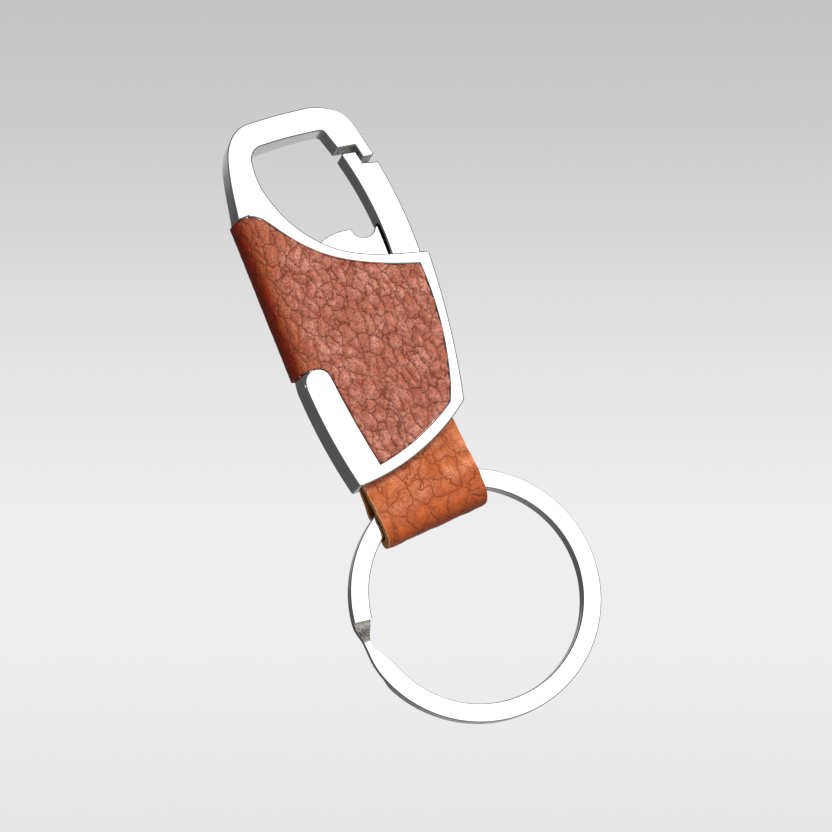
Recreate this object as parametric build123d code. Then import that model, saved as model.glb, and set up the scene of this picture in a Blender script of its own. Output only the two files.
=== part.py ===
from build123d import *
import math
import os

# Keychain bottle opener: a chrome hook body with a sprung gate and a cap tooth, wrapped in
# leather, with a folded leather strap that carries a flat split ring. Millimetres.
#
# The outlines are drawn in the object's own flat view: X across from the lower left corner
# of the front face, Z up along the body, and Y the depth, with y = 0 at mid-thickness and
# the front at negative y. Every part is moved at the end so that the origin is the hang
# point, on the inside of the hook's top bar.

# Hang point, on the inside of the hook's top bar
HANG_X = 9.0
HANG_Z = 50.2

# Body thickness: full at the rim, thinner at the hook's root with a short taper between, and
# thinning again along the top bar to the hook's tip
BODY_T = 6.2
HOOK_T = 5.4
TIP_T = 4.1
TAPER_START_Z = 41.6
TAPER_END_Z = 44.5
THINNING_START_X = 6.0
THINNING_END_X = 14.0

# Outer corners of the rim, lower and upper right
RIM_LOW = (19.0, 5.6)
RIM_HIGH = (23.42, 27.2)

# Corners of the body outline that are cast with a radius: position and radius
BODY_CORNERS = [
    ((0.0, 0.0), 0.5),
    (RIM_LOW, 0.9),
    (RIM_HIGH, 0.35),
    ((17.77, 46.0), 0.22),
    ((20.38, 45.5), 0.15),
    ((20.68, 43.42), 0.22),
    ((22.42, 43.1), 0.3),
]

# Leather wrap, let into both faces and carried round the spine
LEATHER_T = 0.75
LEATHER_BELOW_RIM = 0.15
WRAP_LOW_Z = 17.7
WRAP_HIGH_Z = 41.4
CORE_T = BODY_T - 2 * (LEATHER_T + LEATHER_BELOW_RIM)

# Round top end of the bar at the lower left, and the scoop that leads down from it
BAR_END_CENTRE = (0.85, 15.75)
BAR_END_R = 1.95
BAR_END_DEPTH = 1.1
BAR_END_SLOPE = 0.7

# Straight spine of the casting, under the leather: its lower and upper end, and its edge radius
SPINE_LOW = (-1.13, WRAP_LOW_Z)
SPINE_HIGH = (-0.03, 41.6)
SPINE_R = 1.6

# Gate, its hinge and its spring
GATE_T = 4.0
GATE_PIVOT = (19.6, 24.0)
GATE_OPEN_DEG = 16.0
HUB_R = 2.3
HUB_T = 2.6
GATE_STEP_R = 4.0
GATE_GAP = 0.15
GATE_SIDE_GAP = 0.1
GATE_FOOT_Z = 28.0
GATE_FOOT_IN_X = 18.5
GATE_FOOT_OUT_X = 22.65
GATE_WEB_X = 21.95
GATE_PIN_R = 0.9
PIN_CLEARANCE = 0.05
SPRING_SLOT_T = 1.4
SPRING_WIRE = 0.35
SPRING_R = 1.35
SPRING_TURNS = 2.25
SPRING_LEG = 1.9

# Opener blade
BLADE_T = 1.7
BLADE_SLOT_T = 2.0
BLADE_REACH_R = 10.1
RIVET_R = 0.75
RIVETS = [(11.2, 29.4), (15.2, 27.5)]

# Strap: two tails in the casting, then a loop round the ring
STRAP_X = 8.7
STRAP_W = 16.1
STRAP_T = 1.4
STRAP_MOUTH_T = 3.6
STRAP_POCKET_T = 2.86
STRAP_POCKET_LOW_Z = 1.85
STRAP_POCKET_HIGH_Z = 12.15
STRAP_SIDE_GAP = 0.1
STRAP_TOP_Z = 12.0
STRAP_BOTTOM_Z = -9.2
STRAP_PIN_R = 0.8
STRAP_PINS = [(STRAP_X - 3.9, 8.6), (STRAP_X + 3.9, 8.6)]

# Split ring: two flat turns
RING_OUTER_R = 17.95
RING_INNER_R = 15.28
RING_TURN_T = 1.2
RING_CLEARANCE = 0.15
RING_SLIT = 0.03
RING_NECK_INSET = 0.3
RING_CRANK_DEG = 9.0
RING_SLIT_DEG = 1.2
RING_END_DEG = 171.0
RING_X = STRAP_X + 0.65
RING_HANG = math.sqrt(RING_INNER_R ** 2 - (RING_X - STRAP_X + STRAP_W / 2) ** 2)
RING_Z = STRAP_BOTTOM_Z + STRAP_T + 2 * RING_CLEARANCE - RING_HANG


def slab(face, front, back):
    """Prism of a flat-view outline between two depths."""
    return Plane.XZ.offset(-back) * extrude(face, back - front, dir=(0, 0, 1))


def middle_slab(face, thickness):
    return slab(face, -thickness / 2, thickness / 2)


def outline(*edges):
    return make_face(Curve() + list(edges))


def corner_at(face, point):
    """The outline's corner nearest to a point, as a list for fillet."""
    return [min(face.vertices(), key=lambda v: math.dist((v.X, v.Y), point))]


def disc(centre, radius):
    return Pos(*centre) * Circle(radius)


def body_outline():
    """Hook, rim and bar as one closed outline, clockwise from the lower left corner."""
    left = Spline(SPINE_HIGH, (0.95, 45.8), (1.75, 48.7), (2.9, 51.4), (4.6, 53.2), (7.5, 53.88))
    top = ThreePointArc((7.5, 53.88), (12.0, 53.62), (16.2, 53.1))
    shoulder = Spline((16.2, 53.1), (18.7, 52.1), (20.5, 50.65), (21.75, 47.2), (22.42, 43.1))
    tongue = [
        Line((22.42, 43.1), (20.68, 43.42)),
        Line((20.68, 43.42), (20.38, 45.5)),
        Line((20.38, 45.5), (17.77, 46.0)),
        Line((17.77, 46.0), (17.1, 48.6)),
    ]
    opening = [
        ThreePointArc((17.1, 48.6), (16.85, 49.1), (16.2, 49.35)),
        ThreePointArc((16.2, 49.35), (12.0, 49.93), (7.6, HANG_Z)),
        ThreePointArc((7.6, HANG_Z), (6.05, 49.65), (5.4, 48.5)),
        Spline((5.4, 48.5), (5.05, 44.9), (6.1, 39.8), (8.1, 35.9), (12.0, 31.85),
               (17.5, 29.1), RIM_HIGH),
    ]
    rim = [
        ThreePointArc(RIM_HIGH, (21.67, 16.0), RIM_LOW),
        ThreePointArc(RIM_LOW, (10.0, 1.3), (0.0, 0.0)),
    ]
    bar = [
        ThreePointArc((0.0, 0.0), (-0.82, 6.0), SPINE_LOW),
        Line(SPINE_LOW, SPINE_HIGH),
    ]
    face = outline(left, top, shoulder, *tongue, *opening, *rim, *bar)
    for corner, radius in BODY_CORNERS:
        face = fillet(corner_at(face, corner), radius)
    return face


def wrap_outline():
    """Flat view of the leather window, which runs out past the spine."""
    far_left = -5.0
    edges = [
        Line((far_left, WRAP_LOW_Z), (0.85, WRAP_LOW_Z)),
        ThreePointArc((0.85, WRAP_LOW_Z), (2.23, 17.13), (2.8, 15.75)),
        ThreePointArc((2.8, 15.75), (3.25, 9.0), (4.05, 1.85)),
        ThreePointArc((4.05, 1.85), (10.8, 3.35), (16.9, 6.15)),
        Line((16.9, 6.15), (17.85, 8.0)),
        ThreePointArc((17.85, 8.0), (20.3, 16.0), (21.45, 26.0)),
        Spline((21.45, 26.0), (16.0, 28.15), (9.0, 32.5), (4.3, 38.4), (2.5, 40.75),
               (0.9, WRAP_HIGH_Z)),
        Line((0.9, WRAP_HIGH_Z), (far_left, WRAP_HIGH_Z)),
        Line((far_left, WRAP_HIGH_Z), (far_left, WRAP_LOW_Z)),
    ]
    return outline(*edges)


def spine_x(z):
    """X of the spine line at a height."""
    slope = (SPINE_HIGH[0] - SPINE_LOW[0]) / (SPINE_HIGH[1] - SPINE_LOW[1])
    return SPINE_LOW[0] + slope * (z - SPINE_LOW[1])


def spine_block(growth, thickness):
    """Block right of the spine line, its two long left edges rounded."""
    low = -5.0
    high = 50.0
    far_right = 30.0
    face = Polygon(
        (spine_x(low) - growth, low), (far_right, low),
        (far_right, high), (spine_x(high) - growth, high),
        align=None,
    )
    block = middle_slab(face, thickness)
    left_face = block.faces().sort_by(Axis.X)[0]
    long_left = left_face.edges().sort_by(SortBy.LENGTH)[-2:]
    return fillet(long_left, SPINE_R + growth)


def bar_end_hollow():
    """What is scooped off the outer corner at the bar's top end, on the front and on the back."""
    height = WRAP_LOW_Z - BAR_END_CENTRE[1]
    block = Box(3 * BAR_END_R, BAR_END_DEPTH, height, align=(Align.MAX, Align.MIN, Align.MIN))
    cone = Cone(BAR_END_R, BAR_END_R + BAR_END_SLOPE * BAR_END_DEPTH, BAR_END_DEPTH,
                align=(Align.CENTER, Align.CENTER, Align.MIN))
    front = Pos(BAR_END_CENTRE[0], -BODY_T / 2, BAR_END_CENTRE[1]) * (block - Rot(-90, 0, 0) * cone)
    return front + mirror(front, Plane.XZ)


def thickness_profile(inset):
    """Side view of the body: full thickness at the rim, tapering to the hook's root."""
    full = BODY_T / 2 - inset
    thin = HOOK_T / 2 - inset
    low = -15.0
    high = 60.0
    face = Polygon(
        (-full, low), (full, low), (full, TAPER_START_Z), (thin, TAPER_END_Z),
        (thin, high), (-thin, high), (-thin, TAPER_END_Z), (-full, TAPER_START_Z),
        align=None,
    )
    return Plane.YZ.offset(-20) * extrude(face, 60, dir=(0, 0, 1))


def thinning_profile():
    """View from above of the hook: nothing taken off at its root, thin at its tip."""
    root = HOOK_T / 2
    tip = TIP_T / 2
    left = -10.0
    right = 30.0
    height = 20.0
    face = Polygon(
        (left, -BODY_T), (THINNING_START_X, -BODY_T), (THINNING_START_X, -root),
        (THINNING_END_X, -tip), (right, -tip), (right, tip), (THINNING_END_X, tip),
        (THINNING_START_X, root), (THINNING_START_X, BODY_T), (left, BODY_T),
        align=None,
    )
    below = Box(right - left, 2 * BODY_T, 2 * TAPER_START_Z, align=(Align.MIN, Align.CENTER, Align.CENTER))
    return Pos(0, 0, TAPER_START_Z) * extrude(face, height, dir=(0, 0, 1)) + Pos(left, 0, 0) * below


def gate_outline():
    """Gate from its lapped tip down to the hub."""
    px, pz = GATE_PIVOT
    tip = [
        ThreePointArc((17.97, 44.55), (18.05, 44.9), (18.35, 45.0)),
        Line((18.35, 45.0), (20.05, 44.62)),
        Line((20.05, 44.62), (20.34, 42.72)),
        Line((20.34, 42.72), (22.48, 42.1)),
    ]
    foot_in = (GATE_FOOT_IN_X, GATE_FOOT_Z)
    foot_out = (GATE_FOOT_OUT_X, GATE_FOOT_Z)
    outer = [
        ThreePointArc((22.48, 42.1), (22.92, 35.5), foot_out),
        Line(foot_out, (px + HUB_R, pz)),
    ]
    hub = ThreePointArc((px + HUB_R, pz), (px, pz - HUB_R), (px - HUB_R, pz))
    inner = [
        Line((px - HUB_R, pz), foot_in),
        ThreePointArc(foot_in, (18.9, 35.5), (17.97, 44.55)),
    ]
    return outline(*tip, *outer, hub, *inner)


def gate_room():
    """Room inside the casting that the gate's foot takes from shut to open, as one face."""
    px, pz = GATE_PIVOT
    hub = HUB_R + GATE_GAP
    left = GATE_FOOT_IN_X - GATE_GAP
    right = GATE_FOOT_OUT_X + GATE_GAP
    high = GATE_FOOT_Z + 5.0
    foot = Polygon(
        (px - hub, pz), (left, GATE_FOOT_Z), (left, high),
        (right, high), (right, GATE_FOOT_Z), (px + hub, pz),
        align=None,
    )
    room = disc(GATE_PIVOT, hub) + foot
    steps = 4
    spare_deg = 0.5
    for step in range(1, steps + 1):
        turn = (GATE_OPEN_DEG + spare_deg) * step / steps
        room = room + Pos(px, pz) * Rot(0, 0, turn) * Pos(-px, -pz) * foot
    return room


def strap_slot():
    """Slot through the bottom rim, with a tighter pocket above it for the strap's tails."""
    width = STRAP_W + 2 * STRAP_SIDE_GAP
    mouth_low_z = -3.0
    mouth_high_z = 5.0
    upwards = (Align.CENTER, Align.MIN)
    mouth = Pos(STRAP_X, mouth_low_z) * Rectangle(width, mouth_high_z - mouth_low_z, align=upwards)
    pocket_height = STRAP_POCKET_HIGH_Z - STRAP_POCKET_LOW_Z
    pocket = Pos(STRAP_X, STRAP_POCKET_LOW_Z) * Rectangle(width, pocket_height, align=upwards)
    return middle_slab(mouth, STRAP_MOUTH_T) + middle_slab(pocket, STRAP_POCKET_T)


def spine_rounding():
    """What the casting loses along its spine, so that the leather can wrap round it."""
    height = WRAP_HIGH_Z - WRAP_LOW_Z
    strip_right = spine_x(WRAP_HIGH_Z) + SPINE_R
    strip = Pos(strip_right, WRAP_LOW_Z) * Rectangle(3 * CORE_T, height, align=(Align.MAX, Align.MIN))
    return middle_slab(strip, BODY_T) - spine_block(0, CORE_T)


def frame_casting():
    body = middle_slab(body_outline(), BODY_T + 1) & thickness_profile(0) & thinning_profile()
    recess = wrap_outline()
    floor = CORE_T / 2
    front = slab(recess, -BODY_T, -floor)
    back = slab(recess, floor, BODY_T)
    body = body - front - back - spine_rounding() - bar_end_hollow()
    inside_step = disc(GATE_PIVOT, GATE_STEP_R - GATE_GAP)
    hub_room = gate_room()
    cheek_room = hub_room - inside_step
    body = body - middle_slab(hub_room, HUB_T + 2 * GATE_SIDE_GAP)
    body = body - middle_slab(cheek_room, GATE_T + 2 * GATE_SIDE_GAP)
    body = body - middle_slab(blade_outline(), BLADE_T)
    body = body - strap_slot()
    body = body - middle_slab(disc(GATE_PIVOT, GATE_PIN_R), BODY_T)
    for spot in RIVETS:
        body = body - middle_slab(disc(spot, RIVET_R), BODY_T)
    for spot in STRAP_PINS:
        body = body - middle_slab(disc(spot, STRAP_PIN_R), BODY_T)
    return body


def blade_outline():
    """Cap tooth above the rim, and the root that is let into the casting."""
    tooth = [
        Line((9.0, 33.2), (10.3, 34.6)),
        ThreePointArc((10.3, 34.6), (12.7, 34.95), (15.0, 34.6)),
        ThreePointArc((15.0, 34.6), (16.7, 32.7), (18.35, 33.6)),
        Line((18.35, 33.6), (18.76, 33.8)),
    ]
    root = [
        Line((18.76, 33.8), (18.5, 28.6)),
        Line((18.5, 28.6), (16.9, 28.6)),
        Line((16.9, 28.6), (15.9, 26.2)),
        Line((15.9, 26.2), (9.4, 28.2)),
        Line((9.4, 28.2), (9.0, 33.2)),
    ]
    return outline(*tooth, *root)


def opener_blade():
    blade = middle_slab(blade_outline(), BLADE_T)
    for spot in RIVETS:
        blade = blade - middle_slab(disc(spot, RIVET_R), BODY_T)
    return blade


def pins(spots, radius):
    """Pins or rivets through the casting, their ends flush with the recess floors."""
    return [middle_slab(disc(spot, radius), CORE_T) for spot in spots]


def gate():
    """Gate with a thin eye at the hinge, and a fork slot that the blade's end enters."""
    shape = gate_outline()
    thick = shape - disc(GATE_PIVOT, GATE_STEP_R)
    body = middle_slab(shape, HUB_T) + middle_slab(thick, GATE_T)
    blade_reach = disc(GATE_PIVOT, BLADE_REACH_R) - disc(GATE_PIVOT, GATE_STEP_R)
    left_of_web = Pos(GATE_WEB_X, GATE_PIVOT[1]) * Rectangle(
        2 * BLADE_REACH_R, 2 * BLADE_REACH_R, align=(Align.MAX, Align.CENTER))
    body = body - middle_slab(blade_reach & left_of_web, BLADE_SLOT_T)
    body = body - middle_slab(disc(GATE_PIVOT, GATE_STEP_R), SPRING_SLOT_T)
    return body - middle_slab(disc(GATE_PIVOT, GATE_PIN_R + PIN_CLEARANCE), GATE_T)


def gate_spring():
    """Torsion spring: a coil round the pin, one leg up the gate, one against the pocket."""
    px, pz = GATE_PIVOT
    pitch = 1.08 * SPRING_WIRE
    height = pitch * SPRING_TURNS
    coil = Helix(pitch=pitch, height=height, radius=SPRING_R)
    start = Plane(origin=coil @ 0, z_dir=coil % 0)
    body = sweep(start * Circle(SPRING_WIRE / 2), path=coil)
    low_leg = Plane(origin=coil @ 0, z_dir=-(coil % 0))
    high_leg = Plane(origin=coil @ 1, z_dir=coil % 1)
    body = body + low_leg * extrude(Circle(SPRING_WIRE / 2), SPRING_LEG)
    body = body + high_leg * extrude(Circle(SPRING_WIRE / 2), SPRING_LEG)
    return Pos(px, height / 2, pz) * Rot(90, 0, 0) * Rot(0, 0, -90) * body


def leather_wrap():
    region = middle_slab(wrap_outline(), BODY_T) & thickness_profile(LEATHER_BELOW_RIM)
    skin_t = BODY_T - 2 * LEATHER_BELOW_RIM
    return (region & spine_block(LEATHER_T, skin_t)) - spine_block(0, CORE_T)


def strap_half():
    """Side view of one strap layer: tail, mouth, ring loop and half of the fold."""
    inner = RING_TURN_T + RING_CLEARANCE
    outer = inner + STRAP_T
    low = STRAP_BOTTOM_Z
    inside_low = low + STRAP_T
    bend_in = 0.5
    bend_out = bend_in + STRAP_T
    bend_z = inside_low + bend_in
    loop_z = RING_Z + RING_OUTER_R + 0.1
    parting = 0.01
    mouth_in = 0.3
    mouth_z = -0.1
    tail_z = 5.0
    corner = math.sqrt(0.5)
    inner_bend = ThreePointArc(
        (inner, bend_z),
        (inner - bend_in + bend_in * corner, bend_z - bend_in * corner),
        (inner - bend_in, inside_low),
    )
    outer_bend = ThreePointArc(
        (outer - bend_out, low),
        (outer - bend_out + bend_out * corner, bend_z - bend_out * corner),
        (outer, bend_z),
    )
    return outline(
        Line((parting, STRAP_TOP_Z), (parting, tail_z)),
        Line((parting, tail_z), (mouth_in, mouth_z)),
        Line((mouth_in, mouth_z), (inner, loop_z)),
        Line((inner, loop_z), (inner, bend_z)),
        inner_bend,
        Line((inner - bend_in, inside_low), (0, inside_low)),
        Line((0, inside_low), (0, low)),
        Line((0, low), (outer - bend_out, low)),
        outer_bend,
        Line((outer, bend_z), (outer, loop_z)),
        Line((outer, loop_z), (mouth_in + STRAP_T, mouth_z)),
        Line((mouth_in + STRAP_T, mouth_z), (parting + STRAP_T, tail_z)),
        Line((parting + STRAP_T, tail_z), (parting + STRAP_T, STRAP_TOP_Z)),
        Line((parting + STRAP_T, STRAP_TOP_Z), (parting, STRAP_TOP_Z)),
    )


def strap():
    start = Plane.YZ.offset(STRAP_X - STRAP_W / 2)
    layer = start * extrude(strap_half(), STRAP_W, dir=(0, 0, 1))
    body = layer + mirror(layer, Plane.XZ)
    for spot in STRAP_PINS:
        body = body - middle_slab(disc(spot, STRAP_PIN_R + PIN_CLEARANCE), BODY_T)
    return body


def ring_sector(start_deg, end_deg, front, back, outer=RING_OUTER_R, inner=RING_INNER_R):
    """Flat piece of the split ring between two angles and two depths."""
    def at(radius, degrees):
        return (radius * math.cos(math.radians(degrees)), radius * math.sin(math.radians(degrees)))
    middle = (start_deg + end_deg) / 2
    face = outline(
        ThreePointArc(at(outer, start_deg), at(outer, middle), at(outer, end_deg)),
        Line(at(outer, end_deg), at(inner, end_deg)),
        ThreePointArc(at(inner, end_deg), at(inner, middle), at(inner, start_deg)),
        Line(at(inner, start_deg), at(outer, start_deg)),
    )
    return slab(face, front, back)


def split_ring():
    """Front and back turns, joined by the crank that crosses between their ends."""
    turn = RING_TURN_T
    gap = RING_SLIT_DEG
    crank = RING_CRANK_DEG
    end = RING_END_DEG
    front = ring_sector(end + crank, end + 360 - gap, -turn, -RING_SLIT)
    back = ring_sector(end + crank + gap, end + 360, RING_SLIT, turn)
    overlap = 0.5
    neck = ring_sector(end - overlap, end + crank + gap + overlap, -turn, turn,
                       outer=RING_OUTER_R - RING_NECK_INSET, inner=RING_INNER_R + RING_NECK_INSET)
    ring = front + back + neck
    return Pos(RING_X, 0, RING_Z) * ring


def save(name, shape):
    """Move a part so that the hang point is the origin, and write its file."""
    solids = shape if isinstance(shape, list) else [shape]
    moved = [Pos(-HANG_X, 0, -HANG_Z) * solid for solid in solids]
    whole = moved[0] if len(moved) == 1 else Compound(children=moved)
    export_step(whole, f"parts/{name}.step")


os.makedirs("parts", exist_ok=True)
save("frame_casting", frame_casting())
save("opener_blade", opener_blade())
save("blade_rivets", pins(RIVETS, RIVET_R))
save("gate", gate())
save("gate_pin", pins([GATE_PIVOT], GATE_PIN_R))
save("gate_spring", gate_spring())
save("leather_wrap", leather_wrap())
save("strap", strap())
save("strap_pins", pins(STRAP_PINS, STRAP_PIN_R))
save("split_ring", split_ring())
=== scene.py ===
import math

import bmesh
import bpy
import numpy as np
from mathutils import Matrix, Vector


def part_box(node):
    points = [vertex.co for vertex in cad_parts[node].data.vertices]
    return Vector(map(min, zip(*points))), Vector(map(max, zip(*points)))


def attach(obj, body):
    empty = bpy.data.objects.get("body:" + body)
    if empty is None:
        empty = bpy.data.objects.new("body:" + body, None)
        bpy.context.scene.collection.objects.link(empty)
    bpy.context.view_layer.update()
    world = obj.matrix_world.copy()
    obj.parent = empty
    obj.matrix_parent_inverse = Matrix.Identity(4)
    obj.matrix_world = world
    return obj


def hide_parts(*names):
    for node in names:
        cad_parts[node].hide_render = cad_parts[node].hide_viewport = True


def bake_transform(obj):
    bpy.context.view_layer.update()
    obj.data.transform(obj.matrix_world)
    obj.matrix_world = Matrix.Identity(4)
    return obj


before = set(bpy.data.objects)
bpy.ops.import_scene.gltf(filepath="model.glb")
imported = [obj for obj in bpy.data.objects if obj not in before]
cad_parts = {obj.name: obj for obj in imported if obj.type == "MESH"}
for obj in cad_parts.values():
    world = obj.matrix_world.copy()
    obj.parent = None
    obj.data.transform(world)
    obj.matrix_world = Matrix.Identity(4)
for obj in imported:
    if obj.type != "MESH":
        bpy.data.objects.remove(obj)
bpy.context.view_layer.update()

# Everything is in metres, in the frame of the CAD model: the origin is the hang point inside the
# hook, Z runs up the body and the front is at negative Y.
MM = 0.001

# Sizes that the CAD model gives, and the strap's height in mm
RING_LOW, RING_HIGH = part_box("split_ring")
STRAP_LOW, STRAP_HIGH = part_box("strap")
STRAP_TALL = (STRAP_HIGH.z - STRAP_LOW.z) / MM
WRAP_LOW, WRAP_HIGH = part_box("leather_wrap")

# Where the gate's tip laps the hook's tip, in mm
LAP_BOX = ((8.9, -3.0, -7.3), (13.2, 3.0, -4.0))

# Gap round the wrap's edge and width of the polished chamfers, in mm
EDGE_GAP = 0.14
BODY_CHAMFER = 0.17
BLADE_CHAMFER = 0.12

# How far the spine leans to the right for its height
SPINE_LEAN = 0.046

# Photographic set-up, fitted to the object's outline
CAMERA_PLACE = Vector((-0.11522, -0.43185, -0.09507))
CAMERA_AZIMUTH = math.radians(-15.36)
CAMERA_ELEVATION = math.radians(-6.54)
CAMERA_ROLL = math.radians(-24.65)
CAMERA_LENS_MM = 138.2


# ---------------------------------------------------------------- node trees

class Tree:
    """Short ways to add nodes to a shader or geometry node tree."""

    def __init__(self, tree):
        self.tree = tree

    def add(self, kind, inputs=None, **settings):
        node = self.tree.nodes.new(kind)
        for key, value in settings.items():
            setattr(node, key, value)
        for key, value in (inputs or {}).items():
            self.feed(node.inputs[key], value)
        return node

    def feed(self, socket, value):
        if isinstance(value, bpy.types.NodeSocket):
            self.tree.links.new(value, socket)
        else:
            socket.default_value = value

    def math(self, operation, *values):
        node = self.add("ShaderNodeMath", operation=operation)
        for socket, value in zip(node.inputs, values):
            self.feed(socket, value)
        return node.outputs[0]

    def vector(self, operation, *values):
        node = self.add("ShaderNodeVectorMath", operation=operation)
        for socket, value in zip(node.inputs, values):
            self.feed(socket, value)
        return node

    def scaled(self, place, factors):
        return self.vector("MULTIPLY", place, factors).outputs[0]

    def object_mm(self):
        """Place in the object's own axes, in mm."""
        return self.scaled(self.add("ShaderNodeTexCoord").outputs["Object"], (1 / MM,) * 3)

    def bump(self, shader, height, strength, distance):
        """Gives the shader a fine relief, with its distance in mm."""
        inputs = {"Height": height, "Strength": strength, "Distance": distance * MM}
        self.feed(shader.inputs["Normal"], self.add("ShaderNodeBump", inputs).outputs[0])

    def step(self, value, start, end, low=0.0, high=1.0):
        """Smooth step from low at start to high at end."""
        inputs = {"Value": value, "From Min": start, "From Max": end, "To Min": low, "To Max": high}
        return self.add("ShaderNodeMapRange", inputs, interpolation_type="SMOOTHSTEP").outputs[0]

    def noise(self, place, scale, detail=2.0, roughness=0.5):
        inputs = {"Vector": place, "Scale": scale, "Detail": detail, "Roughness": roughness}
        return self.add("ShaderNodeTexNoise", inputs)

    def cells(self, place, scale, feature="DISTANCE_TO_EDGE", randomness=1.0):
        inputs = {"Vector": place, "Scale": scale, "Randomness": randomness}
        return self.add("ShaderNodeTexVoronoi", inputs, feature=feature).outputs["Distance"]

    def mix(self, factor, first, second, blend="MIX"):
        node = self.add("ShaderNodeMix", data_type="RGBA", blend_type=blend)
        self.feed(node.inputs[0], factor)
        self.feed(node.inputs[6], first)
        self.feed(node.inputs[7], second)
        return node.outputs[2]


def srgb(red, green, blue):
    """Linear colour from 8-bit display values."""
    def linear(value):
        value = value / 255
        return value / 12.92 if value <= 0.04045 else ((value + 0.055) / 1.055) ** 2.4
    return (linear(red), linear(green), linear(blue), 1.0)


# ------------------------------------------------------------------ materials

def new_material(name, **uniform):
    """Material with one Principled shader, and that shader's uniform values."""
    material = bpy.data.materials.new(name)
    material.use_nodes = True
    tree = Tree(material.node_tree)
    shader = material.node_tree.nodes["Principled BSDF"]
    for key, value in uniform.items():
        shader.inputs[key.replace("_", " ")].default_value = value
    return material, tree, shader


def chrome(name, colour, roughness, ripple):
    """Bright plate: faint clouding, hairline polishing marks and the soft ripple of the metal under it."""
    material, tree, shader = new_material(name, Metallic=1.0)
    place = tree.object_mm()
    cloud = tree.noise(place, 0.35, detail=3.0).outputs[0]
    hairs = tree.noise(tree.scaled(place, (6.0, 6.0, 0.5)), 1.4, detail=4.0, roughness=0.7).outputs[0]
    darker = tuple(0.93 * c for c in colour[:3]) + (1.0,)
    shade = tree.mix(tree.step(cloud, 0.35, 0.7), colour, darker)
    tree.feed(shader.inputs["Base Color"], shade)
    rough = tree.step(hairs, 0.3, 0.8, roughness, roughness * 2.2)
    tree.feed(shader.inputs["Roughness"], rough)
    wave = tree.noise(place, 0.22, detail=1.0).outputs[0]
    height = tree.math("ADD", tree.math("MULTIPLY", wave, ripple), tree.math("MULTIPLY", hairs, 0.02))
    tree.bump(shader, height, strength=0.6, distance=0.05)
    return material


def bare_steel(name, colour, roughness, grain):
    """Drawn or turned steel with fine lines and a few darker stains."""
    material, tree, shader = new_material(name, Metallic=1.0)
    place = tree.object_mm()
    lines = tree.noise(tree.scaled(place, grain), 2.0, detail=3.0).outputs[0]
    stain = tree.noise(place, 0.8, detail=4.0).outputs[0]
    darker = tuple(0.6 * c for c in colour[:3]) + (1.0,)
    tree.feed(shader.inputs["Base Color"], tree.mix(tree.step(stain, 0.5, 0.75), colour, darker))
    tree.feed(shader.inputs["Roughness"], tree.step(lines, 0.3, 0.7, roughness * 0.7, roughness * 1.4))
    tree.bump(shader, lines, strength=0.5, distance=0.02)
    return material


# Grain of a leather: size of its pebbles and of the small ones on them in mm, how much the small
# ones show, how far they are drawn out, how wide the creases are and how high the domes are in mm,
# and how many of the creases fade out.
WRAP_GRAIN = dict(pebble=2.05, small=1.25, minor=0.3, stretch=(1.25, 1.0, 0.8), crease=0.1,
                  depth=0.15, fade=0.3)
STRAP_GRAIN = dict(pebble=3.4, small=1.9, minor=0.45, stretch=(1.0, 1.0, 0.85), crease=0.1,
                   depth=0.11, fade=0.5)


def grain_height(tree, place, pebble, small, minor, stretch, crease, depth, fade):
    """Height of the grain side in mm, and how much of a crease each point is, from 0 to 1."""
    bend = tree.noise(place, 0.45, detail=2.0).outputs["Color"]
    bend = tree.vector("SUBTRACT", bend, (0.5, 0.5, 0.5)).outputs[0]
    warped = tree.vector("ADD", tree.scaled(place, stretch), tree.scaled(bend, (1.6,) * 3)).outputs[0]
    wobble = tree.noise(place, 1.3, detail=1.0).outputs["Color"]
    warped = tree.vector("ADD", warped, tree.scaled(wobble, (0.45,) * 3)).outputs[0]
    shown = tree.step(tree.noise(place, 0.5, detail=1.0).outputs[0], 0.5 - fade, 0.5, 0.35, 1.0)
    large = tree.cells(warped, 1 / pebble)
    little = tree.cells(warped, 1 / small)
    dome = tree.step(large, 0.0, 0.4)
    small_dome = tree.step(little, 0.0, 0.4)
    large_crease = tree.step(large, 0.0, crease / pebble, 1.0, 0.0)
    little_crease = tree.step(little, 0.0, 0.7 * crease / small, minor, 0.0)
    lines = tree.math("MULTIPLY", tree.math("MAXIMUM", large_crease, little_crease), shown)
    height = tree.math("ADD", dome, tree.math("MULTIPLY", small_dome, 0.5 * minor))
    height = tree.math("SUBTRACT", height, tree.math("MULTIPLY", lines, 0.7))
    return tree.math("MULTIPLY", height, depth), lines


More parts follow.
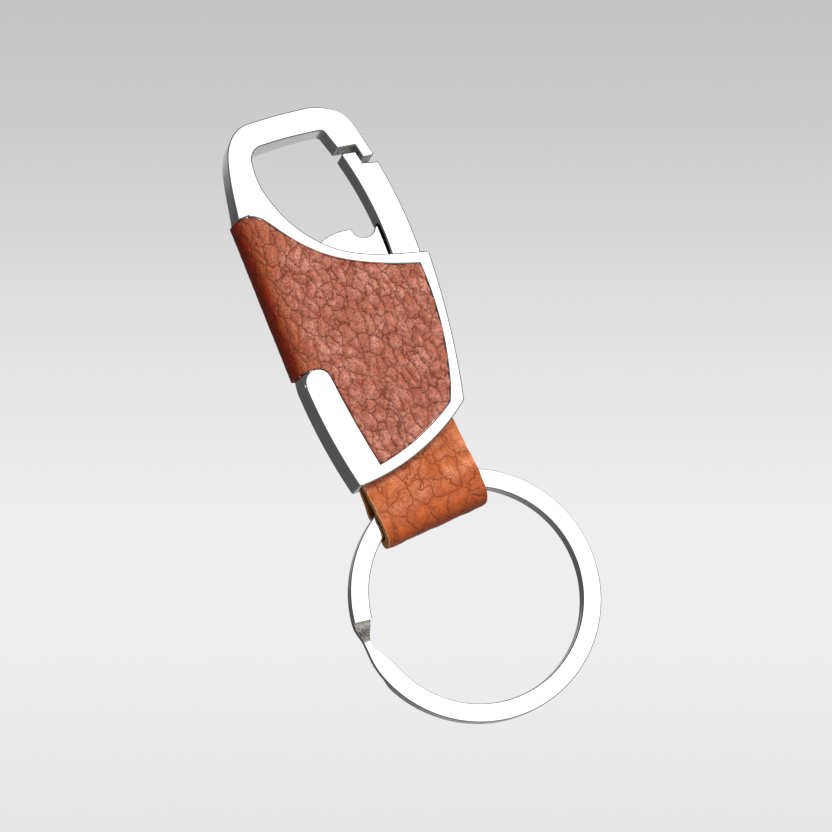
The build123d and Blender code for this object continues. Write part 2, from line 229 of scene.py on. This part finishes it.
def leather(name, grain, colours, roughness, gloss, painted_valley_shade, blotch, bends):
    """Dyed leather: painted shade in the creases and in the hollows between the domes, which
    leaves the domes lighter; colours laid on towards the bend (painted shade round the wrap's
    spine and under the strap's fold, and the strap's more orange leather above the fold);
    speckle and pores. The painted shade in the hollows has its own argument: how much darker
    the ground between the domes is painted. The mesh says how far towards its bend each point
    is, in mm; each of the bends gives where its colour starts and where it is full, how much of
    it, and the colour."""
    speckle_and_shade, body, light, warm = colours
    material, tree, shader = new_material(name, Specular_IOR_Level=gloss, Coat_Weight=0.15 * gloss,
                                          Coat_Roughness=0.35)
    place = tree.add("ShaderNodeAttribute", attribute_name="grain").outputs["Vector"]
    height, lines = grain_height(tree, place, **grain)
    cloud = tree.noise(place, blotch, detail=3.0, roughness=0.6).outputs[0]
    speckle = tree.noise(place, 4.2, detail=3.0, roughness=0.75).outputs[0]
    warmth = tree.noise(tree.vector("ADD", place, (31.0, 7.0, 3.0)).outputs[0], 0.13, detail=2.0).outputs[0]
    shade = tree.mix(tree.step(cloud, 0.38, 0.66), body, light)
    shade = tree.mix(tree.step(warmth, 0.5, 0.68, 0.0, 0.5), shade, warm)
    ragged = tree.math("MULTIPLY", tree.math("SUBTRACT", cloud, 0.5), 2.0)
    reach = tree.math("ADD", tree.add("ShaderNodeAttribute", attribute_name="bend").outputs["Fac"], ragged)
    # Colours towards the bend: painted shade round the wrap's spine and under the strap's fold, and the
    # strap's more orange leather above the fold
    for start, end, amount, colour in bends:
        shade = tree.mix(tree.step(reach, start, end, 0.0, amount), shade, colour)
    shade = tree.mix(tree.step(speckle, 0.49, 0.6, 0.0, 0.7), shade, speckle_and_shade)
    # Painted shade: the hollows between the domes darker, so the dome tops stand lighter
    shade = tree.mix(tree.step(height, 0.0, 1.1 * grain["depth"], painted_valley_shade, 0.0), shade, speckle_and_shade)
    # Painted shade along the creases
    shade = tree.mix(tree.math("MULTIPLY", lines, 0.85), shade, speckle_and_shade)
    tree.feed(shader.inputs["Base Color"], shade)
    tree.feed(shader.inputs["Roughness"], tree.step(speckle, 0.3, 0.7, roughness * 0.85, roughness * 1.15))
    pores = tree.cells(place, 4.2, feature="F1")
    fine = tree.math("ADD", tree.math("MULTIPLY", pores, 0.5), speckle)
    fine = tree.math("SUBTRACT", fine, tree.math("MULTIPLY", lines, 1.6))
    fine = tree.math("ADD", fine, tree.math("MULTIPLY", height, 1.5 / grain["depth"]))
    tree.bump(shader, fine, strength=0.5, distance=0.045)
    return material


def raw_leather(name, light, dark):
    """Cut edge and flesh side: undyed fibres with dye soaked in at places."""
    material, tree, shader = new_material(name, Roughness=0.85, Specular_IOR_Level=0.25)
    place = tree.add("ShaderNodeAttribute", attribute_name="grain").outputs["Vector"]
    fibres = tree.noise(tree.scaled(place, (4.0, 2.0, 1.5)), 2.2, detail=5.0, roughness=0.75).outputs[0]
    shade = tree.mix(tree.step(fibres, 0.35, 0.62), dark, light)
    tree.feed(shader.inputs["Base Color"], shade)
    tree.bump(shader, fibres, strength=0.9, distance=0.12)
    return material


def cast_metal(name, light, dark):
    """Plated over an unpolished casting: dull and mottled."""
    material, tree, shader = new_material(name, Metallic=1.0)
    place = tree.object_mm()
    grit = tree.noise(place, 3.0, detail=4.0, roughness=0.7).outputs[0]
    tree.feed(shader.inputs["Base Color"], tree.mix(tree.step(grit, 0.4, 0.6), dark, light))
    tree.feed(shader.inputs["Roughness"], tree.step(grit, 0.3, 0.7, 0.35, 0.6))
    tree.bump(shader, grit, strength=0.8, distance=0.12)
    return material


CHROME = (0.90, 0.905, 0.91, 1.0)
CASTING_CHROME = chrome("chrome_casting", CHROME, roughness=0.05, ripple=0.9)
CASTING_DULL = cast_metal("casting_unpolished", (0.85, 0.84, 0.80, 1.0), (0.22, 0.21, 0.18, 1.0))
GATE_CHROME = chrome("chrome_gate", CHROME, roughness=0.05, ripple=0.5)
BLADE_CHROME = chrome("blade_steel", (0.88, 0.885, 0.89, 1.0), roughness=0.07, ripple=0.4)
RING_PRESSED = cast_metal("ring_pressed", (0.90, 0.88, 0.84, 1.0), (0.45, 0.43, 0.38, 1.0))
RING_CHROME = chrome("ring_steel", (0.89, 0.895, 0.90, 1.0), roughness=0.045, ripple=0.4)
PIN_STEEL = bare_steel("pin_steel", (0.60, 0.60, 0.61, 1.0), roughness=0.25, grain=(3.0, 0.4, 3.0))
SPRING_STEEL = bare_steel("spring_steel", (0.46, 0.46, 0.48, 1.0), roughness=0.3, grain=(2.0, 2.0, 2.0))
WRAP_LEATHER = leather(
    "wrap_leather", WRAP_GRAIN,
    (srgb(98, 42, 24), srgb(168, 97, 76), srgb(196, 131, 111), srgb(162, 86, 56)),
    roughness=0.5, gloss=0.3, painted_valley_shade=0.15, blotch=0.55,
    # Painted shade: the leather deepens to dark red-brown round the spine, which faces away from the key
    # light
    bends=[(4.6, 7.8, 0.75, srgb(156, 70, 24)), (7.7, 9.1, 0.95, srgb(168, 40, 4))],
)
STRAP_LEATHER = leather(
    "strap_leather", STRAP_GRAIN,
    (srgb(136, 56, 20), srgb(192, 104, 54), srgb(222, 140, 98), srgb(182, 88, 18)),
    roughness=0.45, gloss=0.5, painted_valley_shade=0.4, blotch=0.35,
    # First band: the more orange, smoother leather above the fold; second band: painted shade where the
    # fold turns under
    bends=[(STRAP_TALL - 5.3, STRAP_TALL - 3.2, 0.95, srgb(184, 82, 4)),
           (STRAP_TALL - 1.4, STRAP_TALL + 0.8, 0.5, srgb(118, 46, 14))],
)
STRAP_RAW = raw_leather("strap_raw_edge", srgb(236, 176, 116), srgb(170, 96, 48))
STRAP_FLESH = raw_leather("strap_flesh", srgb(176, 92, 30), srgb(92, 40, 10))


# --------------------------------------------------------------------- meshes

def add_to_scene(name, data):
    thing = bpy.data.objects.new(name, data)
    bpy.context.scene.collection.objects.link(thing)
    return thing


def new_object(name, mesh, materials):
    piece = add_to_scene(name, mesh)
    for material in materials:
        mesh.materials.append(material)
    return piece


def smooth_with_edges(mesh, degrees):
    mesh.polygons.foreach_set("use_smooth", [True] * len(mesh.polygons))
    mesh.set_sharp_from_angle(angle=math.radians(degrees))


def bake_modifiers(piece):
    """Puts what the modifiers make into the piece's own mesh."""
    graph = bpy.context.evaluated_depsgraph_get()
    graph.update()
    final = bpy.data.meshes.new_from_object(piece.evaluated_get(graph), depsgraph=graph)
    piece.modifiers.clear()
    piece.data = final


def cad_copy(node, name):
    """New mesh with the CAD node's shape: corners joined and flat faces whole."""
    edit = bmesh.new()
    edit.from_mesh(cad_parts[node].data)
    bmesh.ops.remove_doubles(edit, verts=edit.verts, dist=0.002 * MM)
    flat = math.radians(0.6)
    bmesh.ops.dissolve_limit(edit, angle_limit=flat, verts=edit.verts, edges=edit.edges)
    mesh = bpy.data.meshes.new(name)
    edit.to_mesh(mesh)
    edit.free()
    if "custom_normal" in mesh.attributes:
        mesh.attributes.remove(mesh.attributes["custom_normal"])
    return mesh


def outer_faces(edit, side):
    """The outermost face on one side of the body, and the faces that run on from it in a slope."""
    reach = max(side * vertex.co.y for vertex in edit.verts)
    found = set()
    for face in edit.faces:
        level = side * face.calc_center_median().y > reach - 0.01 * MM
        if level and side * face.normal.y > 0.99:
            found.add(face)
    waiting = list(found)
    while waiting:
        face = waiting.pop()
        for edge in face.edges:
            for other in edge.link_faces:
                if other not in found and other.normal.angle(face.normal) < math.radians(20):
                    found.add(other)
                    waiting.append(other)
    return list(found)


def break_edges(mesh, width):
    """Narrow chamfer along the outline of the front and the back."""
    edit = bmesh.new()
    edit.from_mesh(mesh)
    edit.normal_update()
    for side in (-1, 1):
        faces = outer_faces(edit, side)
        strips = bmesh.ops.inset_region(edit, faces=faces, thickness=width,
                                        use_even_offset=True, use_boundary=True)["faces"]
        kept = {vertex for face in faces for vertex in face.verts}
        lowered = {vertex for face in strips for vertex in face.verts} - kept
        for vertex in lowered:
            vertex.co.y -= side * width
    edit.to_mesh(mesh)
    edit.free()


def rounded_metal(node, name, edge, material):
    """The CAD node's shape with its outer edges broken, as polishing leaves them."""
    mesh = cad_copy(node, name)
    break_edges(mesh, edge)
    piece = new_object(name, mesh, [material])
    smooth_with_edges(piece.data, 40)
    weigh = piece.modifiers.new("shading", "WEIGHTED_NORMAL")
    weigh.keep_sharp = True
    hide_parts(node)
    return piece


def loft(name, rows, materials, chosen=None):
    """Closed mesh through rows of points, each row a closed loop, with flat ends.
    chosen gives the material of each face around a row."""
    rows = np.asarray(rows, float)
    count, around = rows.shape[:2]
    faces = []
    which = []
    for i in range(count - 1):
        for j in range(around):
            k = (j + 1) % around
            faces.append((i * around + j, i * around + k, (i + 1) * around + k, (i + 1) * around + j))
            which.append(0 if chosen is None else int(chosen[j]))
    faces.append(tuple(reversed(range(around))))
    faces.append(tuple(range((count - 1) * around, count * around)))
    which += [which[-1]] * 2
    mesh = bpy.data.meshes.new(name)
    mesh.from_pydata(rows.reshape(-1, 3).tolist(), [], faces)
    piece = new_object(name, mesh, materials)
    mesh.polygons.foreach_set("material_index", which)
    edit = bmesh.new()
    edit.from_mesh(mesh)
    bmesh.ops.recalc_face_normals(edit, faces=edit.faces)
    edit.to_mesh(mesh)
    edit.free()
    return piece


def rounded_rectangle(width, height, radius, width_steps, height_steps):
    """Points of a rectangle with round corners about the origin, and which of its four sides each
    point starts: 0 top, 1 right, 2 bottom, 3 left. Goes round from the top left."""
    corner_steps = 4
    points = []
    sides = []
    w, h = width / 2 - radius, height / 2 - radius
    corners = [(w, h, 90), (w, -h, 0), (-w, -h, -90), (-w, h, -180)]
    steps = [width_steps, height_steps, width_steps, height_steps]
    starts = [(-w, height / 2), (width / 2, h), (w, -height / 2), (-width / 2, -h)]
    ends = [(w, height / 2), (width / 2, -h), (-w, -height / 2), (-width / 2, h)]
    for side in range(4):
        (x0, y0), (x1, y1) = starts[side], ends[side]
        for k in range(steps[side]):
            t = k / steps[side]
            points.append((x0 + (x1 - x0) * t, y0 + (y1 - y0) * t))
            sides.append(side)
        cx, cy, angle = corners[side]
        for k in range(corner_steps):
            turn = math.radians(angle - 90 * k / corner_steps)
            points.append((cx + radius * math.cos(turn), cy + radius * math.sin(turn)))
            sides.append(side)
    return np.array(points), np.array(sides)


def point_attribute(mesh, name, kind, values):
    layer = mesh.attributes.new(name, kind, "POINT")
    field = "vector" if kind == "FLOAT_VECTOR" else "value"
    layer.data.foreach_set(field, np.asarray(values, np.float32).ravel())


def raise_grain(piece, grain):
    """Moves the grain side in and out by the same creases that its material draws."""
    group = bpy.data.node_groups.new(f"{piece.name}_relief", "GeometryNodeTree")
    group.interface.new_socket("Geometry", in_out="INPUT", socket_type="NodeSocketGeometry")
    group.interface.new_socket("Geometry", in_out="OUTPUT", socket_type="NodeSocketGeometry")
    tree = Tree(group)
    start = tree.add("NodeGroupInput")
    end = tree.add("NodeGroupOutput")
    place = tree.add("GeometryNodeInputNamedAttribute", {"Name": "grain"}, data_type="FLOAT_VECTOR")
    skin = tree.add("GeometryNodeInputNamedAttribute", {"Name": "skin"}, data_type="FLOAT")
    height = grain_height(tree, place.outputs[0], **grain)[0]
    height = tree.math("MULTIPLY", tree.math("MULTIPLY", height, skin.outputs[0]), MM)
    normal = tree.add("GeometryNodeInputNormal").outputs[0]
    offset = tree.vector("SCALE", normal)
    tree.feed(offset.inputs["Scale"], height)
    move = tree.add("GeometryNodeSetPosition", {"Geometry": start.outputs[0], "Offset": offset.outputs[0]})
    tree.feed(end.inputs[0], move.outputs[0])
    piece.modifiers.new("relief", "NODES").node_group = group
    bake_modifiers(piece)


def smooth_step(value, start, end):
    t = np.clip((value - start) / (end - start), 0, 1)
    return t * t * (3 - 2 * t)


def hump(value, middle, length, power=2):
    """1 at the middle, falling smoothly to nearly 0 at two lengths from it."""
    return np.exp(-abs((value - middle) / length) ** power)


def read_vectors(values, field):
    """One row of three numbers for each element of a mesh's list."""
    rows = np.empty(len(values) * 3, np.float32)
    values.foreach_get(field, rows)
    return rows.reshape(-1, 3)


# --------------------------------------------------------------------- pieces

def make_wrap():
    """Leather bonded round the spine and into both faces: fine skin, soft edges, raised grain,
    which is stretched nearly smooth where the leather goes round the spine."""
    cell = 0.15
    smooth_from, smooth_to, smoothed = 6.6, 8.2, 0.8
    mesh = cad_copy("leather_wrap", "leather_wrap_skin")
    piece = new_object("leather_wrap_skin", mesh, [WRAP_LEATHER])
    remesh = piece.modifiers.new("skin", "REMESH")
    remesh.mode = "VOXEL"
    remesh.voxel_size = cell * MM
    soften = piece.modifiers.new("soften", "SMOOTH")
    soften.iterations = 2
    soften.factor = 0.5
    bake_modifiers(piece)
    mesh = piece.data
    co = read_vectors(mesh.vertices, "co").astype(float)
    normals = read_vectors(mesh.vertex_normals, "vector")
    half = (WRAP_HIGH.y - WRAP_LOW.y) / 2
    axis_x = WRAP_LOW.x + half + SPINE_LEAN * (co[:, 2] - spine_low_z())
    outward = co - np.stack([np.maximum(co[:, 0], axis_x), 0 * axis_x, co[:, 2]], 1)
    outward /= np.maximum(np.linalg.norm(outward, axis=1, keepdims=True), 1e-9)
    facing = (outward * normals).sum(1)
    skin = smooth_step(facing, 0.45, 0.9)
    reach = (SPINE_LEAN * co[:, 2] - co[:, 0]) / MM
    skin = skin * (1 - smoothed * smooth_step(reach, smooth_from, smooth_to))
    co -= normals * (EDGE_GAP * MM) * (1 - smooth_step(facing, 0.2, 0.8))[:, None]
    mesh.vertices.foreach_set("co", co.ravel())
    point_attribute(mesh, "grain", "FLOAT_VECTOR", co / MM)
    point_attribute(mesh, "skin", "FLOAT", skin)
    point_attribute(mesh, "bend", "FLOAT", reach)
    raise_grain(piece, WRAP_GRAIN)
    smooth_with_edges(piece.data, 180)
    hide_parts("leather_wrap")
    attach(piece, "body")


def spine_low_z():
    """Where the leather reaches furthest out along the spine: at the top end of the bar."""
    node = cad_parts["leather_wrap"].data
    co = np.array([v.co for v in node.vertices])
    return co[co[:, 0] < WRAP_LOW.x + 0.05 * MM, 2].min()


def strap_profile():
    """Outer side of the folded strap seen from the edge, from the front tail round to the back
    one: depth and height in mm from the mid-plane and the fold."""
    half = (STRAP_HIGH.y - STRAP_LOW.y) / 2 / MM
    tail_half, mouth_half = 1.41, 1.72
    top, tail, mouth, full, bend = STRAP_TALL, 10.9, 8.8, 5.6, 3.3
    roundness = 2.5
    heights = np.linspace(top, bend, 120)
    depths = tail_half + (mouth_half - tail_half) * smooth_step(heights, tail, mouth)
    depths = depths + (half - mouth_half) * smooth_step(heights, mouth + 0.8, full - 0.6)
    turn = np.linspace(0, math.pi / 2, 60)[1:]
    fold_depth = half * np.cos(turn) ** (2 / roundness)
    fold_height = bend * (1 - np.sin(turn) ** (2 / roundness))
    depths = np.concatenate([depths, fold_depth])
    heights = np.concatenate([heights, fold_height])
    depths = np.concatenate([-depths, depths[-2::-1]])
    heights = np.concatenate([heights, heights[-2::-1]])
    return resampled(np.stack([depths, heights], 1), 0.16)


def resampled(points, spacing):
    """Points at even distances along a polyline, and how far along each is."""
    steps = np.linalg.norm(np.diff(points, axis=0), axis=1)
    along = np.concatenate([[0], np.cumsum(steps)])
    even = np.linspace(0, along[-1], int(along[-1] / spacing) + 1)
    return np.stack([np.interp(even, along, points[:, k]) for k in range(2)], 1), even


def make_strap():
    """Leather strip folded round the ring, both tails in the casting's mouth. Its right side bulges
    above the fold, is pulled in at the fold and sits a little higher there; both sides wave."""
    thickness, side_gap, corner_r, edge_width = 1.36, 0.05, 0.16, 0.9
    bulge, bulge_at, bulge_length = 0.2, 0.48, 3.0
    pull_in, pull_in_length = 0.55, 2.2
    raised, raised_length = 0.3, 6.0
    grain_side, cut_edge, flesh_side = 0, 1, 2
    width = (STRAP_HIGH.x - STRAP_LOW.x) / MM
    centre = (STRAP_HIGH.x + STRAP_LOW.x) / 2 / MM
    bottom = STRAP_LOW.z / MM
    outer, along = strap_profile()
    tangent = np.gradient(outer, axis=0)
    tangent /= np.linalg.norm(tangent, axis=1, keepdims=True)
    outward = np.stack([tangent[:, 1], -tangent[:, 0]], 1)
    section, sides = rounded_rectangle(width - 2 * side_gap, thickness, corner_r, 110, 8)
    fold = along[-1] / 2
    rows = []
    places = []
    skins = []
    bends = []
    for (depth, height), (ny, nz), s in zip(outer, outward, along):
        across = section[:, 0] / width + 0.5
        wider = bulge * hump(s, bulge_at * fold, bulge_length) - pull_in * hump(s, fold, pull_in_length)
        wave = 0.04 * math.sin(0.9 * s) + 0.03 * math.sin(2.3 * s + 1.0)
        x = centre + section[:, 0] + across * wider + wave * (2 * across - 1)
        lift = raised * across * hump(s, fold, raised_length, power=4)
        down = section[:, 1] - thickness / 2
        y = depth + ny * down
        z = bottom + height + nz * down + lift
        rows.append(np.stack([x, y, z], 1) * MM)
        places.append(np.stack([x, down, np.full_like(x, s)], 1))
        bends.append(fold - abs(s - fold) + 0.15 * x)
        edge = np.abs(section[:, 0]) - (width / 2 - edge_width)
        skins.append(np.where(section[:, 1] > 0, 1 - smooth_step(edge, 0, 0.8), 0))
    face_kinds = np.array([grain_side, cut_edge, flesh_side, cut_edge])[sides]
    piece = loft("strap_leather_fold", rows, [STRAP_LEATHER, STRAP_RAW, STRAP_FLESH], face_kinds)
    point_attribute(piece.data, "grain", "FLOAT_VECTOR", np.concatenate(places))
    point_attribute(piece.data, "skin", "FLOAT", np.concatenate(skins))
    point_attribute(piece.data, "bend", "FLOAT", np.concatenate(bends))
    raise_grain(piece, STRAP_GRAIN)
    punch_pin_holes(piece)
    smooth_with_edges(piece.data, 60)
    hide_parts("strap")
    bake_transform(piece)


def punch_pin_holes(piece):
    """Round holes through both tails, where the pins hold the strap."""
    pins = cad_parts["strap_pins"].data
    cutter = add_to_scene("pin_cutter", pins.copy())
    cut = piece.modifiers.new("holes", "BOOLEAN")
    cut.operation = "DIFFERENCE"
    cut.solver = "EXACT"
    cut.object = cutter
    bake_modifiers(piece)
    bpy.data.objects.remove(cutter)


def make_ring():
    """Flat wire wound twice, with the narrowed crank that joins the front turn to the back one.
    Angles go from the right over the top. The back turn's free end stops short of the crank."""
    outer = (RING_HIGH.z - RING_LOW.z) / 2
    wire = 2.66 * MM
    turn_t = (RING_HIGH.y - RING_LOW.y) / 2
    mean = outer - wire / 2
    centre = (RING_HIGH + RING_LOW) / 2
    end_deg, crank_deg, end_gap_deg, back_end_deg = 171.0, 9.0, 1.2, 15.0
    neck_deg, neck_inner, neck_outer = 180.5, 1.3 * MM, 0.35 * MM
    reach_above_deg, reach_below_deg = 6.5, 9.0
    end_cut, end_taper_deg = 0.45 * MM, 5.0
    gap = 0.05 * MM
    section = rounded_rectangle(wire, turn_t - gap, 0.24 * MM, 6, 4)[0]
    rows = []
    pressed = []
    start = end_deg + 360 - end_gap_deg
    stop = end_deg - 360 + crank_deg + back_end_deg
    for degrees in np.arange(start, stop, -1.25):
        crossing = smooth_step(degrees, end_deg, end_deg + crank_deg)
        depth = (turn_t / 2) * (1 - 2 * crossing)
        reach_deg = reach_above_deg if degrees < neck_deg else reach_below_deg
        neck = hump(degrees, neck_deg, reach_deg)
        inner_cut = neck * neck_inner
        outer_cut = neck * neck_outer + end_cut * hump(degrees, stop, end_taper_deg)
        angle = math.radians(degrees)
        radial = mean + (inner_cut - outer_cut) / 2 + section[:, 0] * (1 - (inner_cut + outer_cut) / wire)
        pressed += [0 < crossing < 1] * len(section)
        x = centre.x + radial * math.cos(angle)
        z = centre.z + radial * math.sin(angle)
        rows.append(np.stack([x, depth + section[:, 1], z], 1))
    piece = loft("split_ring_wire", rows, [RING_CHROME, RING_PRESSED])
    for face in piece.data.polygons:
        face.material_index = int(pressed[face.vertices[0]])
    smooth_with_edges(piece.data, 20)
    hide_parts("split_ring")
    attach(piece, "ring")


def leave_lap_unpolished(casting):
    """The faces of the hook's tip that the gate closes against keep their cast surface."""
    casting.data.materials.append(CASTING_DULL)
    low, high = LAP_BOX
    for face in casting.data.polygons:
        inside = all(low[k] * MM < face.center[k] < high[k] * MM for k in range(3))
        if inside and abs(face.normal.y) < 0.6 and face.normal.x < 0.3:
            face.material_index = 1


def make_metal():
    casting = rounded_metal("frame_casting", "casting_plated", BODY_CHAMFER * MM, CASTING_CHROME)
    leave_lap_unpolished(casting)
    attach(casting, "body")
    gate = rounded_metal("gate", "gate_plated", BODY_CHAMFER * MM, GATE_CHROME)
    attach(gate, "gate")
    blade = rounded_metal("opener_blade", "blade_plated", BLADE_CHAMFER * MM, BLADE_CHROME)
    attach(blade, "body")


def finish_cad_nodes():
    """Small steel pieces keep their CAD shape and get their finish."""
    finishes = {
        "blade_rivets": PIN_STEEL, "gate_pin": PIN_STEEL, "strap_pins": PIN_STEEL,
        "gate_spring": SPRING_STEEL,
    }
    for node, material in finishes.items():
        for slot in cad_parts[node].material_slots:
            slot.material = material


# ---------------------------------------------------------------- set and light

def camera_axes():
    """Right, up and back directions of the photographic view."""
    az, el = CAMERA_AZIMUTH, CAMERA_ELEVATION
    back = Vector((math.sin(az) * math.cos(el), -math.cos(az) * math.cos(el), math.sin(el)))
    level = Vector((0, 0, 1)).cross(back).normalized()
    upright = back.cross(level)
    right = math.cos(CAMERA_ROLL) * level + math.sin(CAMERA_ROLL) * upright
    up = -math.sin(CAMERA_ROLL) * level + math.cos(CAMERA_ROLL) * upright
    return right, up, back


def make_camera():
    right, up, back = camera_axes()
    data = bpy.data.cameras.new("camera")
    data.sensor_width = 36
    data.lens = CAMERA_LENS_MM
    data.clip_start = 0.01
    data.clip_end = 20
    camera = add_to_scene("camera", data)
    camera.matrix_world = Matrix.Translation(CAMERA_PLACE) @ Matrix((right, up, back)).transposed().to_4x4()
    bpy.context.scene.camera = camera


# Studio round the object, as directions: softboxes with their brightness and dark flags, each
# with the half-angles in degrees between which it fades out.
SOFTBOXES = [
    ((0.263, -0.958, 0.113), 1.5, 20, 38),
    ((0.62, 0.68, 0.40), 0.95, 10, 34),
    ((0.263, 0.958, -0.114), 0.36, 10, 24),
    ((0.10, 0.93, 0.33), 0.36, 5, 14),
]
FLAGS = [((-0.30, 0.94, 0.12), 0.15, 8, 22)]
ROOM_BRIGHTNESS = 0.10

# Backdrop: how far up the picture's height a direction points, and how bright it is there
BACKDROP = [(-0.14, 0.80), (-0.05, 0.86), (0.14, 0.55)]


def make_world():
    """Softboxes and flags for light and reflections, and a plain graded grey behind the object."""
    world = bpy.data.worlds.new("studio")
    bpy.context.scene.world = world
    world.use_nodes = True
    tree = Tree(world.node_tree)
    direction = tree.add("ShaderNodeTexCoord").outputs["Generated"]

    def beam(axis, inner_deg, outer_deg):
        aim = tree.vector("DOT_PRODUCT", direction, tuple(Vector(axis).normalized())).outputs["Value"]
        return tree.step(aim, math.cos(math.radians(outer_deg)), math.cos(math.radians(inner_deg)))

    height = tree.vector("DOT_PRODUCT", direction, (0.0, 0.0, 1.0)).outputs["Value"]
    light = tree.step(height, -0.9, 0.2, ROOM_BRIGHTNESS * 2.0, ROOM_BRIGHTNESS)
    for axis, brightness, inner, outer in SOFTBOXES:
        light = tree.math("ADD", light, tree.math("MULTIPLY", beam(axis, inner, outer), brightness))
    for axis, depth, inner, outer in FLAGS:
        kept = tree.math("SUBTRACT", 1.0, tree.math("MULTIPLY", beam(axis, inner, outer), depth))
        light = tree.math("MULTIPLY", light, kept)
    up = camera_axes()[1]
    rise = tree.vector("DOT_PRODUCT", direction, tuple(up)).outputs["Value"]
    (z0, low), (z1, middle), (z2, high) = BACKDROP
    backdrop = tree.step(rise, z1, z2, tree.step(rise, z0, z1, low, middle), high)
    ray = tree.add("ShaderNodeLightPath").outputs["Is Camera Ray"]
    strength = tree.math("ADD", tree.math("MULTIPLY", light, tree.math("SUBTRACT", 1.0, ray)),
                         tree.math("MULTIPLY", backdrop, ray))
    shader = world.node_tree.nodes["Background"]
    tree.feed(shader.inputs["Strength"], strength)
    shader.inputs["Color"].default_value = (1, 1, 1, 1)


def area_light(name, place, target, size, watts):
    data = bpy.data.lights.new(name, "AREA")
    data.shape = "DISK"
    data.size = size
    data.energy = watts
    light = add_to_scene(name, data)
    light.location = place
    light.visible_glossy = False
    light.rotation_euler = (Vector(target) - Vector(place)).to_track_quat("-Z", "Y").to_euler()


def make_floor():
    """Plain pale floor below the object, which fades into the backdrop."""
    radius, drop = 0.8, 0.08
    mesh = bpy.data.meshes.new("floor")
    edit = bmesh.new()
    bmesh.ops.create_circle(edit, cap_ends=True, radius=radius, segments=96)
    edit.to_mesh(mesh)
    edit.free()
    material, tree, shader = new_material("floor_paper", Roughness=0.6)
    place = tree.add("ShaderNodeTexCoord").outputs["Object"]
    far = tree.vector("LENGTH", place).outputs["Value"]
    fibre = tree.noise(place, 90.0, detail=3.0).outputs[0]
    tree.feed(shader.inputs["Base Color"], tree.mix(fibre, (0.78, 0.78, 0.78, 1), (0.84, 0.84, 0.84, 1)))
    tree.feed(shader.inputs["Alpha"], tree.step(far, 0.3 * radius, 0.95 * radius, 1.0, 0.0))
    floor = new_object("floor", mesh, [material])
    floor.location = (0, 0, RING_LOW.z - drop)
    floor.visible_glossy = False


def make_set():
    scene = bpy.context.scene
    scene.view_settings.view_transform = "Standard"
    make_camera()
    make_world()
    make_floor()
    middle = (0, 0, -0.04)
    area_light("key", (0.62, -0.75, 0.50), middle, 0.35, 12.0)
    area_light("fill", (0.45, -0.85, -0.25), middle, 0.6, 3.2)


make_set()
make_metal()
make_ring()
make_wrap()
make_strap()
finish_cad_nodes()
